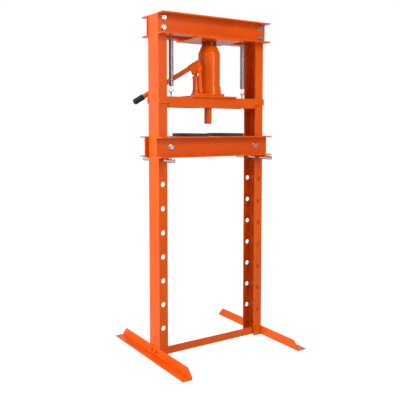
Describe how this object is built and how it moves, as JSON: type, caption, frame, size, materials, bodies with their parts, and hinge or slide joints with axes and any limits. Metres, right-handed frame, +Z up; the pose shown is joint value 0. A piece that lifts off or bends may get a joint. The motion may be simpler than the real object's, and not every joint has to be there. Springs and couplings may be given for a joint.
{
  "type": "hydraulic shop press",
  "caption": "Floor-standing H-frame shop press with a bottle jack on a sprung crosshead, an adjustable bed on pins and loose press plates.",
  "frame": {"origin": "centre of the footprint, on the floor between the uprights", "axes": "+Z up, +X across the press to its right side seen from the front, +Y from front to back"},
  "size_m": [0.5842, 0.5588, 1.3303],
  "materials": {
    "orange_paint": "glossy orange enamel",
    "zinc_steel": "bright zinc plate",
    "chrome_steel": "polished",
    "dark_steel": "machined, lightly oiled",
    "spring_steel": "drawn wire, zinc plated",
    "black_steel": "black oxide, satin",
    "black_rubber": "matt moulded rubber"
  },
  "bodies": {
    "frame": {"foot_bolt_left_front": "zinc_steel", "foot_bolt_left_rear": "zinc_steel", "foot_bolt_right_front": "zinc_steel", "foot_bolt_right_rear": "zinc_steel", "foot_left": "orange_paint", "foot_right": "orange_paint", "lower_crossbar": "orange_paint", "return_spring_left": "spring_steel", "return_spring_right": "spring_steel", "spring_hanger_left": "zinc_steel", "spring_hanger_right": "zinc_steel", "thrust_plate": "orange_paint", "top_beam_front": "orange_paint", "top_beam_rear": "orange_paint", "top_bolt_front_left_lower": "zinc_steel", "top_bolt_front_left_upper": "zinc_steel", "top_bolt_front_right_lower": "zinc_steel", "top_bolt_front_right_upper": "zinc_steel", "top_bolt_rear_left_lower": "zinc_steel", "top_bolt_rear_left_upper": "zinc_steel", "top_bolt_rear_right_lower": "zinc_steel", "top_bolt_rear_right_upper": "zinc_steel", "top_collar": "orange_paint", "upright_left": "orange_paint", "upright_right": "orange_paint"},
    "crosshead": {"crosshead_guide_left": "orange_paint", "crosshead_guide_right": "orange_paint", "crosshead_plate_front": "orange_paint", "crosshead_plate_rear": "orange_paint", "crosshead_tie": "orange_paint", "jack_base": "orange_paint", "jack_tank": "orange_paint", "link_lug": "orange_paint", "pressing_pin": "orange_paint", "pump_cylinder": "orange_paint", "pump_link": "orange_paint", "seat_plate": "orange_paint", "spring_eye_left": "zinc_steel", "spring_eye_right": "zinc_steel", "spring_strap_left": "orange_paint", "spring_strap_right": "orange_paint"},
    "ram": {"extension_screw": "dark_steel", "jack_ram": "chrome_steel"},
    "lever": {"pump_lever": "orange_paint"},
    "handle": {"handle_grip": "black_rubber", "pump_handle": "orange_paint"},
    "plunger": {"pump_plunger": "chrome_steel"},
    "valve": {"release_valve": "zinc_steel"},
    "bed": {"bed_beam_front": "orange_paint", "bed_beam_rear": "orange_paint", "bed_bolt_left": "zinc_steel", "bed_bolt_right": "zinc_steel", "bed_spacer_left": "orange_paint", "bed_spacer_right": "orange_paint"},
    "left_pin": {"bed_pin_left": "chrome_steel"},
    "right_pin": {"bed_pin_right": "chrome_steel"},
    "left_plate": {"press_plate_left": "black_steel"},
    "right_plate": {"press_plate_right": "black_steel"}
  },
  "joints": [
    {"name": "crosshead_slide", "type": "slide", "parent": "frame", "child": "crosshead", "axis": [0, 0, -1], "range_m": [0, 0.08], "stiffness_N_per_m": 2500, "springref_m": -0.1, "deforming": ["return_spring_left", "return_spring_right"]},
    {"name": "ram_slide", "type": "slide", "parent": "crosshead", "child": "ram", "axis": [0, 0, 1], "range_m": [0, 0.08]},
    {"name": "lever_pivot", "type": "hinge", "parent": "crosshead", "child": "lever", "pos_m": [-0.0593, -0.0298, 1.1292], "axis": [0.5807, 0.8141, 0], "range_deg": [0, 48]},
    {"name": "handle_draw", "type": "slide", "parent": "lever", "child": "handle", "axis": [-0.6978, 0.4978, -0.515], "range_m": [0, 0.06]},
    {"name": "plunger_slide", "type": "slide", "parent": "crosshead", "child": "plunger", "axis": [0, 0, 1], "range_m": [0, 0.0165]},
    {"name": "release_valve_turn", "type": "hinge", "parent": "crosshead", "child": "valve", "pos_m": [0.005, 0.055, 1.048], "axis": [0, 1, 0], "range_deg": [0, 270]},
    {"name": "bed_lift", "type": "slide", "parent": "frame", "child": "bed", "axis": [0, 0, 1], "range_m": [0, 0.015]},
    {"name": "left_pin_draw", "type": "slide", "parent": "frame", "child": "left_pin", "axis": [0, -1, 0], "range_m": [0, 0.15]},
    {"name": "right_pin_draw", "type": "slide", "parent": "frame", "child": "right_pin", "axis": [0, -1, 0], "range_m": [0, 0.15]},
    {"name": "left_plate_slide", "type": "slide", "parent": "bed", "child": "left_plate", "axis": [1, 0, 0], "range_m": [-0.09, 0.03]},
    {"name": "right_plate_slide", "type": "slide", "parent": "bed", "child": "right_plate", "axis": [-1, 0, 0], "range_m": [-0.09, 0.03]}
  ],
  "couplings": [
    {"joint": "ram_slide", "follows": "crosshead_slide", "ratio": 1},
    {"joint": "plunger_slide", "follows": "lever_pivot", "m_per_rad": 0.0189}
  ]
}
